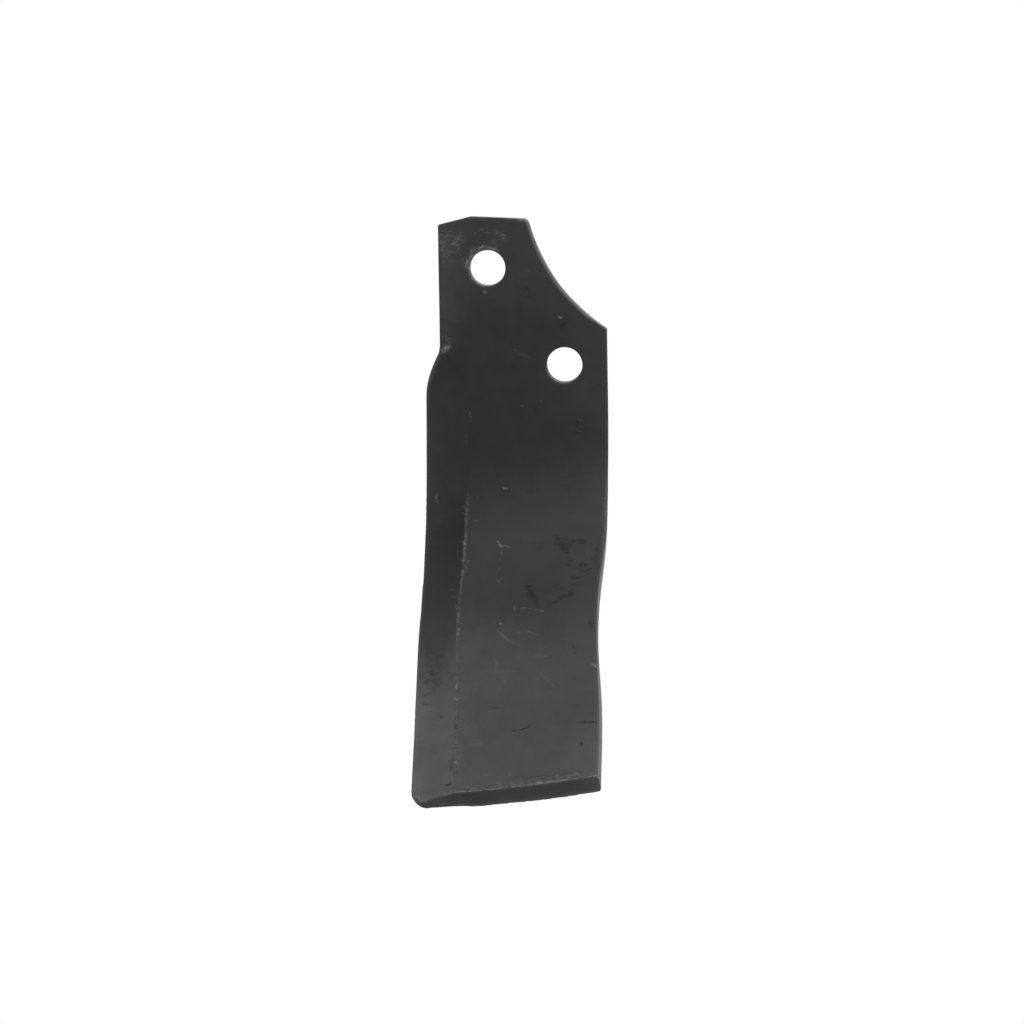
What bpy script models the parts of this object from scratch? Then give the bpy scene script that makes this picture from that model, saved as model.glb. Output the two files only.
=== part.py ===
"""Rotary tiller blade: a flat bar with two bolt holes, a drawn cutting edge and a bent foot.

The bar is laid out flat, as the smith sees it, and every point of it is then carried
through the slanted bend. X runs across the bar, +Z towards its bolt end, and -Y is the
side that the foot bends to. The origin lies between the bolt holes on the bolting face.
"""

import math

import bmesh
import bpy
from mathutils import Vector

# Bar stock, in metres
BAR_WIDTH = 0.0772
BAR_THICKNESS = 0.010
BAR_CORNER = 0.0008
BAR_LENGTH = 0.3042

# Bolt holes, on a slanted line whose middle is the origin
HOLE_DIAMETER = 0.0165
HOLE_SPACING = 0.057
HOLE_LINE_ANGLE = math.radians(52.3)
ORIGIN_TO_EDGE_SIDE = 0.040

# Sheared bolt end, with a clearance arc that takes away its right corner
ORIGIN_TO_TOP = 0.0461
TOP_EDGE_LENGTH = 0.0414
TOP_EDGE_FALL = 0.0013
TOP_SLANT_LENGTH = 0.015
TOP_SLANT_FALL = 0.0035
TOP_CORNER_RADIUS = 0.0022
ARC_RADIUS = 0.0825
ARC_HEIGHT = 0.0511

# Drawn cutting edge on the left, bevelled on the front and relieved on the back
ORIGIN_TO_EDGE_START = 0.015
EDGE_RUN_IN = 0.022
EDGE_GROWTH = 0.0070
EDGE_GROWTH_LATER = 0.0014
BEVEL_WIDTH = 0.0195
BEVEL_WIDTH_START = 0.0023
BEVEL_WIDTH_GAIN = 0.0018
BEVEL_DEPTH_SHARE = 0.70
BEVEL_POWER = 1.15
RELIEF_WIDTH = 0.028
RELIEF_DEPTH_SHARE = 0.21
RELIEF_RUN_IN = 0.036
EDGE_CORNER_RADIUS = 0.0072

# Slightly rounded cut across the tip
TIP_SLANT = math.radians(4.1)
TIP_ARC_RADIUS = 0.6

# Sideways sweep of the foot, and the waist and leaning side that bending leaves on the right
SWEEP_ANGLE = math.radians(5.0)
SWEEP_START = 0.127
SWEEP_LENGTH = 0.036
WAIST_START = 0.095
WAIST_LENGTH = 0.042
WAIST_DEPTH = 0.0012
SIDE_LEAN = 0.0012
SIDE_LEAN_START = 0.045
SIDE_LEAN_LENGTH = 0.048
SIDE_LEAN_END = 0.210

# Bend of the foot about a slanted line
BEND_ANGLE = math.radians(53.5)
BEND_RADIUS = 0.088
BEND_SLANT = math.radians(11.7)
ORIGIN_TO_BEND = 0.0548

# Fineness of the curved stretches
BEND_STEP = math.radians(2.3)
ARC_STEPS = 28
CORNER_STEPS = 4
HOLE_SIDES = 48
RUN_IN_ROWS = 16
SHANK_ROWS = 4
FOOT_ROWS = 12
EDGE_CORNER_ROWS = 5
SIDE_CORNER_STEPS = 3
BEVEL_PARTS = (0.0, 0.16, 0.4, 0.7, 1.0)
FLAT_COLUMNS = 5
SETTLING_STEPS = 6
COPLANAR_ANGLE = math.radians(0.02)

PAINT_COLOUR = (0.0185, 0.0195, 0.0195, 1.0)
PAINT_ROUGHNESS = 0.42
PAINT_METALLIC = 0.25

LEFT_SIDE = -ORIGIN_TO_EDGE_SIDE
RIGHT_SIDE = LEFT_SIDE + BAR_WIDTH
MIDDLE = (LEFT_SIDE + RIGHT_SIDE) / 2
BAR_END = BAR_LENGTH - ORIGIN_TO_TOP
HALF = BAR_THICKNESS / 2
ALONG_BEND = Vector((math.cos(BEND_SLANT), 0, math.sin(BEND_SLANT)))
ACROSS_BEND = Vector((math.sin(BEND_SLANT), 0, -math.cos(BEND_SLANT)))
FRONT = Vector((0, -1, 0))


def clear_scene():
    for old in list(bpy.data.objects):
        bpy.data.objects.remove(old, do_unlink=True)


def share(value, start, length):
    """How far value has come from start over length, held between 0 and 1."""
    return min(max((value - start) / length, 0.0), 1.0)


def eased(value, start, length):
    part = share(value, start, length)
    return part * part * (3 - 2 * part)


def run_in(down):
    """0 above the cutting edge and 1 where its full section is reached."""
    return math.sin(share(down, ORIGIN_TO_EDGE_START, EDGE_RUN_IN) * math.pi / 2)


def sweep(down):
    """Sideways shift of the bar: an arc that ends in a straight line at the sweep angle."""
    slope = math.tan(SWEEP_ANGLE)
    part = share(down, SWEEP_START, SWEEP_LENGTH)
    past = max(down - SWEEP_START - SWEEP_LENGTH, 0.0)
    return slope * (SWEEP_LENGTH * part * part / 2 + past)


def edge_side(down):
    """Left outline of the bar, before the corner at its tip is rounded."""
    later = eased(down, ORIGIN_TO_EDGE_START + EDGE_RUN_IN, SWEEP_START - ORIGIN_TO_EDGE_START)
    growth = EDGE_GROWTH * run_in(down) + EDGE_GROWTH_LATER * later
    return LEFT_SIDE - growth + sweep(down)


def bevel_width(down):
    growing = BEVEL_WIDTH_GAIN * share(down, SWEEP_START, BAR_END - SWEEP_START)
    return BEVEL_WIDTH_START + (BEVEL_WIDTH - BEVEL_WIDTH_START) * run_in(down) + growing


def plain_side(down):
    """Right outline of the bar's front face."""
    waist = WAIST_DEPTH * eased(down, WAIST_START, WAIST_LENGTH)
    return RIGHT_SIDE - waist + sweep(down)


def side_lean(down):
    """How far the right side leans in at the back, along the bend."""
    coming = eased(down, SIDE_LEAN_START, SIDE_LEAN_LENGTH)
    going = eased(down, SIDE_LEAN_END - SIDE_LEAN_LENGTH, SIDE_LEAN_LENGTH)
    return SIDE_LEAN * (coming - going)


def front_height(down, inwards):
    """Height of the front face over the bar's middle plane, a distance inwards of the edge."""
    part = share(inwards, 0.0, bevel_width(down))
    depth = BEVEL_DEPTH_SHARE * BAR_THICKNESS * run_in(down)
    return HALF - depth * (1 - part) ** BEVEL_POWER


def back_height(down, inwards):
    relief = eased(RELIEF_WIDTH - inwards, 0.0, RELIEF_WIDTH)
    come = eased(down, ORIGIN_TO_EDGE_START, RELIEF_RUN_IN)
    return -HALF + RELIEF_DEPTH_SHARE * BAR_THICKNESS * come * relief


def tip_trim(row):
    """How far the rounded corner at the tip takes the edge inwards, on this row."""
    tip = row_point((BAR_END, *row[1:]), edge_side)[1]
    down = row_point(row, edge_side)[1]
    into = share(down, tip - EDGE_CORNER_RADIUS, EDGE_CORNER_RADIUS)
    return EDGE_CORNER_RADIUS * (1 - math.sqrt(1 - into * into))


def row_point(row, side_of):
    """Where a row of the flat bar meets a lengthwise line, whose place across is side_of(down)."""
    row_down, slant, bow = row
    middle = MIDDLE + sweep(row_down)
    down = row_down
    for _ in range(SETTLING_STEPS):
        off = side_of(down) - middle
        down = row_down - off * math.tan(slant) - bow * off * off / (2 * TIP_ARC_RADIUS)
    return side_of(down), down


def edge_columns(row):
    """Lengthwise lines over the bevel and the relief, as functions of the distance down the bar."""
    trim = tip_trim(row)
    columns = [
        lambda down, part=part: edge_side(down) + trim + part * (bevel_width(down) - trim)
        for part in BEVEL_PARTS
    ]
    return [*columns, lambda down: edge_side(down) + RELIEF_WIDTH]


def flat_column(part):
    """A lengthwise line over the flat, a part of the way from the relief to the right corner."""

    def line(down):
        start = edge_side(down) + RELIEF_WIDTH
        return start + part * (plain_side(down) - BAR_CORNER - start)

    return line


def side_column(inset, backwards):
    """A lengthwise line round the right side, which leans in towards the back."""
    return lambda down: plain_side(down) - inset - backwards * side_lean(down)


def section(row):
    """Front and back of one section of the flat bar, as lists of (across, down, height)."""
    front = []
    back = []
    flat_columns = [flat_column(step / FLAT_COLUMNS) for step in range(1, FLAT_COLUMNS)]
    for line in edge_columns(row) + flat_columns:
        across, down = row_point(row, line)
        inwards = across - edge_side(down)
        front.append((across, down, front_height(down, inwards)))
        back.append((across, down, back_height(down, inwards)))
    for step in range(SIDE_CORNER_STEPS + 1):
        turn = math.pi / 2 * step / SIDE_CORNER_STEPS
        inset = BAR_CORNER * (1 - math.sin(turn))
        height = HALF - BAR_CORNER * (1 - math.cos(turn))
        lowered = (HALF - height) / BAR_THICKNESS
        front.append((*row_point(row, side_column(inset, lowered)), height))
        back.append((*row_point(row, side_column(inset, 1 - lowered)), -height))
    return front, back


def bent(across, down, height):
    """Carries a point of the flat bar to its place on the bent blade."""
    flat = Vector((across, 0, -down))
    along = ALONG_BEND * flat.dot(ALONG_BEND)
    past = flat.dot(ACROSS_BEND) - ORIGIN_TO_BEND
    turn = min(max(past / BEND_RADIUS, 0.0), BEND_ANGLE)
    straight = past if past < 0 else max(past - BEND_RADIUS * BEND_ANGLE, 0.0)
    forward = ORIGIN_TO_BEND + (BEND_RADIUS - height) * math.sin(turn) + straight * math.cos(turn)
    raised = BEND_RADIUS - (BEND_RADIUS - height) * math.cos(turn) + straight * math.sin(turn)
    return along + ACROSS_BEND * forward + FRONT * (raised + HALF)


def between(first, last, count):
    """Evenly spaced rows after first, of which the last one is last."""
    shares = [step / count for step in range(1, count + 1)]
    return [tuple(a + (b - a) * part for a, b in zip(first, last)) for part in shares]


def rows():
    """Each row's (distance down, slant, bow): square first, then as the bend, then as the tip."""
    bend_start = (ORIGIN_TO_BEND - MIDDLE * math.sin(BEND_SLANT)) / math.cos(BEND_SLANT)
    bend_end = bend_start + BEND_RADIUS * BEND_ANGLE / math.cos(BEND_SLANT)
    run_in_end = (ORIGIN_TO_EDGE_START + EDGE_RUN_IN, 0.0, 0.0)
    run_in_start = (ORIGIN_TO_EDGE_START, 0.0, 0.0)
    first_bent = (bend_start, BEND_SLANT, 0.0)
    last_bent = (bend_end, BEND_SLANT, 0.0)
    corner_start = (BAR_END - EDGE_CORNER_RADIUS, TIP_SLANT, 1.0)
    found = [(-ORIGIN_TO_TOP - BAR_THICKNESS, 0.0, 0.0)]
    found.append(run_in_start)
    found += between(run_in_start, run_in_end, RUN_IN_ROWS)
    found += between(run_in_end, first_bent, SHANK_ROWS)
    found += between(first_bent, last_bent, math.ceil(BEND_ANGLE / BEND_STEP))
    found += between(last_bent, corner_start, FOOT_ROWS)
    for step in range(1, EDGE_CORNER_ROWS + 1):
        turn = math.pi / 2 * step / EDGE_CORNER_ROWS
        found.append((BAR_END - EDGE_CORNER_RADIUS * (1 - math.sin(turn)), TIP_SLANT, 1.0))
    return found


def cap(mesh, front, back):
    """Closes an end of the loft with a ladder of faces between its front and its back."""
    for i in range(len(front) - 1):
        mesh.faces.new((front[i], front[i + 1], back[i + 1], back[i]))


def lofted_bar():
    """The bent bar, still with its square bolt end and no holes."""
    mesh = bmesh.new()
    sections = []
    for row in rows():
        front, back = section(row)
        sections.append([[mesh.verts.new(bent(*point)) for point in side] for side in (front, back)])
    for (front, back), (next_front, next_back) in zip(sections, sections[1:]):
        upper = front + back[::-1]
        lower = next_front + next_back[::-1]
        for i in range(len(upper)):
            mesh.faces.new((upper[i - 1], upper[i], lower[i], lower[i - 1]))
    cap(mesh, *sections[0])
    cap(mesh, *sections[-1])
    bmesh.ops.recalc_face_normals(mesh, faces=mesh.faces[:])
    bmesh.ops.dissolve_limit(
        mesh, angle_limit=COPLANAR_ANGLE, verts=mesh.verts[:], edges=mesh.edges[:]
    )
    data = bpy.data.meshes.new("tiller_blade")
    mesh.to_mesh(data)
    mesh.free()
    blade = bpy.data.objects.new("tiller_blade", data)
    bpy.context.collection.objects.link(blade)
    return blade


def arc_between(start, end, radius, steps):
    """Points on a circle from start to end, bulging to the left of the way from start to end."""
    chord = end - start
    half = chord.length / 2
    across = Vector((chord.y, -chord.x)).normalized()
    centre = (start + end) / 2 + across * math.sqrt(max(radius * radius - half * half, 0.0))
    first = math.atan2(start.y - centre.y, start.x - centre.x)
    swing = 2 * math.asin(min(half / radius, 1.0))
    turns = [first - swing * step / steps for step in range(steps + 1)]
    return [centre + radius * Vector((math.cos(turn), math.sin(turn))) for turn in turns]


def bolt_end_outline():
    """Outline of what the shear takes off at the bolt end, in the plane of the bar."""
    top_end = Vector((LEFT_SIDE + TOP_EDGE_LENGTH, ORIGIN_TO_TOP - TOP_EDGE_FALL))
    side_end = Vector((RIGHT_SIDE, top_end.y - ARC_HEIGHT))
    arc = arc_between(side_end, top_end, ARC_RADIUS, ARC_STEPS)
    peak = Vector((LEFT_SIDE + TOP_SLANT_LENGTH, ORIGIN_TO_TOP))
    slope = TOP_SLANT_FALL / TOP_SLANT_LENGTH
    out = 2 * BAR_THICKNESS
    beyond = arc[0] + (arc[0] - arc[1]).normalized() * out
    left = Vector((LEFT_SIDE - out, peak.y - slope * (TOP_SLANT_LENGTH + out)))
    above = ORIGIN_TO_TOP + 2 * out
    corner = corner_fillet(arc, peak)
    return [beyond, *corner, peak, left, Vector((left.x, above)), Vector((beyond.x, above))]


def corner_fillet(arc, peak):
    """The arc's points, its last ones swapped for a small round towards the top edge."""
    top_end = arc[-1]
    kept = [point for point in arc if (point - top_end).length > TOP_CORNER_RADIUS]
    along_top = top_end + (peak - top_end).normalized() * TOP_CORNER_RADIUS
    start = kept[-1]
    rounded = []
    for step in range(1, CORNER_STEPS):
        part = step / CORNER_STEPS
        on_arc = start.lerp(top_end, part)
        on_top = top_end.lerp(along_top, part)
        rounded.append(on_arc.lerp(on_top, part))
    return [*kept, *rounded, along_top]


def prism(name, outline):
    """A closed cutter through the bar, from an outline in its plane."""
    mesh = bmesh.new()
    near = [mesh.verts.new((point.x, -2 * BAR_THICKNESS, point.y)) for point in outline]
    face = mesh.faces.new(near)
    grown = bmesh.ops.extrude_face_region(mesh, geom=[face])
    moved = [item for item in grown["geom"] if isinstance(item, bmesh.types.BMVert)]
    bmesh.ops.translate(mesh, verts=moved, vec=(0, 3 * BAR_THICKNESS, 0))
    bmesh.ops.recalc_face_normals(mesh, faces=mesh.faces[:])
    data = bpy.data.meshes.new(name)
    mesh.to_mesh(data)
    mesh.free()
    return as_cutter(bpy.data.objects.new(name, data))


def as_cutter(cutter):
    if not cutter.users_collection:
        bpy.context.collection.objects.link(cutter)
    cutter.hide_render = True
    cutter.display_type = "WIRE"
    return cutter


def hole_outline(across, up):
    turns = [2 * math.pi * side / HOLE_SIDES for side in range(HOLE_SIDES)]
    radius = HOLE_DIAMETER / 2
    return [Vector((across + radius * math.cos(turn), up + radius * math.sin(turn))) for turn in turns]


def bolt_hole_cutters():
    """One cutter for each bolt hole, the upper one nearer the cutting edge."""
    cutters = []
    for name, side in (("upper_bolt_hole", -1), ("lower_bolt_hole", 1)):
        across = side * HOLE_SPACING / 2 * math.cos(HOLE_LINE_ANGLE)
        up = -side * HOLE_SPACING / 2 * math.sin(HOLE_LINE_ANGLE)
        cutters.append(prism(name, hole_outline(across, up)))
    return cutters


def cut(target, cutter):
    boolean = target.modifiers.new(cutter.name, "BOOLEAN")
    boolean.operation = "DIFFERENCE"
    boolean.solver = "EXACT"
    boolean.object = cutter


def black_paint():
    paint = bpy.data.materials.new("black_paint")
    paint.use_nodes = True
    shader = paint.node_tree.nodes["Principled BSDF"]
    shader.inputs["Base Color"].default_value = PAINT_COLOUR
    shader.inputs["Roughness"].default_value = PAINT_ROUGHNESS
    shader.inputs["Metallic"].default_value = PAINT_METALLIC
    return paint


def main():
    clear_scene()
    blade = lofted_bar()
    cut(blade, prism("bolt_end_shear", bolt_end_outline()))
    for cutter in bolt_hole_cutters():
        cut(blade, cutter)
    blade.data.materials.append(black_paint())


main()
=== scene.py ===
import math
from types import SimpleNamespace

import bmesh
import bpy
import numpy as np
from mathutils import Matrix, Vector, kdtree, noise


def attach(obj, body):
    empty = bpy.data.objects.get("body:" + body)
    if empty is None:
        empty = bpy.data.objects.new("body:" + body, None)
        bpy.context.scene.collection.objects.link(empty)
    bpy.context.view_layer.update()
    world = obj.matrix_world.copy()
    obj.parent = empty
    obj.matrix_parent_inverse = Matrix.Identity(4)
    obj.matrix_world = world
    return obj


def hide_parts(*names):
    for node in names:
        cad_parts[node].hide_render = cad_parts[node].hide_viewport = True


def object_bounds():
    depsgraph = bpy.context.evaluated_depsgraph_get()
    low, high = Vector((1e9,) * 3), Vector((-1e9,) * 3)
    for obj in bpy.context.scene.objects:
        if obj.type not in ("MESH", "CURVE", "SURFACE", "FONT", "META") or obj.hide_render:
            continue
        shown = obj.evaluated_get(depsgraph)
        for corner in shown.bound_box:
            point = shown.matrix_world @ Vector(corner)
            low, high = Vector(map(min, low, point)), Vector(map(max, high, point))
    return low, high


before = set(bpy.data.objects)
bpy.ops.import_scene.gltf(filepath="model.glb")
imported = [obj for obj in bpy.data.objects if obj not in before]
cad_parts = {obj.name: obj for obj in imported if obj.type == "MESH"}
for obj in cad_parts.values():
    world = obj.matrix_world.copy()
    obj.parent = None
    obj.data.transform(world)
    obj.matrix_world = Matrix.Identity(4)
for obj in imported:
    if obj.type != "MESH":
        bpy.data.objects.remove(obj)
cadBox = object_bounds()
bpy.context.scene.view_settings.view_transform = "Standard"
print("frame loaded, box", cadBox)

# all the places below are in millimetres in the blade's own frame:
# x away from the cutting edge, -y towards the camera, z up the shank
mm = 0.001


# small helpers for objects and modifiers
def onlySelect(piece):
    bpy.ops.object.select_all(action="DESELECT")
    piece.select_set(True)
    bpy.context.view_layer.objects.active = piece


def useModifier(piece, kind, **settings):
    onlySelect(piece)
    modifier = piece.modifiers.new(kind.lower(), kind)
    for name, value in settings.items():
        setattr(modifier, name, value)
    bpy.ops.object.modifier_apply(modifier=modifier.name)


def settle(piece):
    onlySelect(piece)
    bpy.ops.object.transform_apply(location=True, rotation=True, scale=True)


# the blade itself
blade = {
    "voxel": 0.87,
    "rounding": 2,                  # rounds of smoothing, and how far each goes
    "smoothing": 0.5,
    "edgeAngles": (32, 180),        # folds this sharp count as the rim, degrees
    "ridgeAngles": (9, 28),         # and these as the ridge of the bevel
    "ridgeSide": -15.0,             # the bevel lies on this side of the blade
    "foldStep": 0.25,               # both are taken as points this far apart
    "reach": 6.0,                   # the rim and ridge masks fade out over this
    "rimGrip": 0.95,                # corners this near a fold of the frame are drawn onto it
    "ridgeGrip": 0.40,
    "waviness": 0.16,
    "wavinessSize": 46.0,
    "straySize": 2.6,               # the smudges wander at this size
    "strayReach": 1.1,
    "straySeed": 90,                # and the same way each run
    "gougeReach": 3.0,              # a gouge's slope ends at this many of its widths
    "scratchMargin": 1.5,           # corners this far past a scratch's soft edge know of it
}

# the slanted bend, as the frame has it
bend = {"start": 54.8, "radius": 88.0, "angle": math.radians(53.5), "slant": math.radians(11.7),
        "halfThickness": 5.0}

# shallow gouges and burrs: start, end, width, depth (a burr has a negative depth)
gouges = [
    ((-5.2, -111.2, -176.2), (2.7, -110.4, -174.0), 0.9, 0.20),
    ((24.8, -113.9, -172.1), (30.1, -114.6, -171.5), 0.6, 0.25),
    ((-39.3, -9.7, -15.0), (-37.0, -10.0, -13.9), 1.0, -0.60),
    ((-36.7, -10.0, -10.6), (-35.7, -10.0, -12.6), 0.7, -0.30),
    ((30.3, -87.3, -150.8), (36.0, -89.5, -152.8), 0.9, 0.45),
    ((-12.1, -56.0, -135.9), (-12.0, -56.2, -136.0), 0.8, 0.30),
    ((-22.0, -130.6, -205.3), (-17.5, -131.0, -205.1), 1.2, -0.40),
]

# where the forged outline swells or falls in a little: centre, reach, push
swells = [
    ((33, -111, -173), (8, 36, 27), (0.85, 0, 0)),
    ((36, -23, -95), (8, 60, 38), (0.32, 0, 0)),
    ((-48, -6, -92), (8, 40, 44), (-0.36, 0, 0)),
    ((-28, -130.5, -206.3), (6.5, 6, 5), (0, 0, 0.62)),
    ((-42.5, -129, -207), (2.2, 4, 3), (0, 0, -0.50)),
    ((-48.4, -125.5, -204.3), (2, 4, 2.5), (0.50, 0, 0.20)),
    ((13, -134, -201.5), (18, 6, 5), (0, 0, -0.28)),
    ((-22, -5, 45.5), (18, 9, 6), (0, 0, 0.22)),
    ((8, -5, 27), (9, 9, 14), (0.20, 0, 0.10)),
    ((24, -5, 4), (12, 9, 8), (0.20, 0, 0.15)),
]

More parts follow.
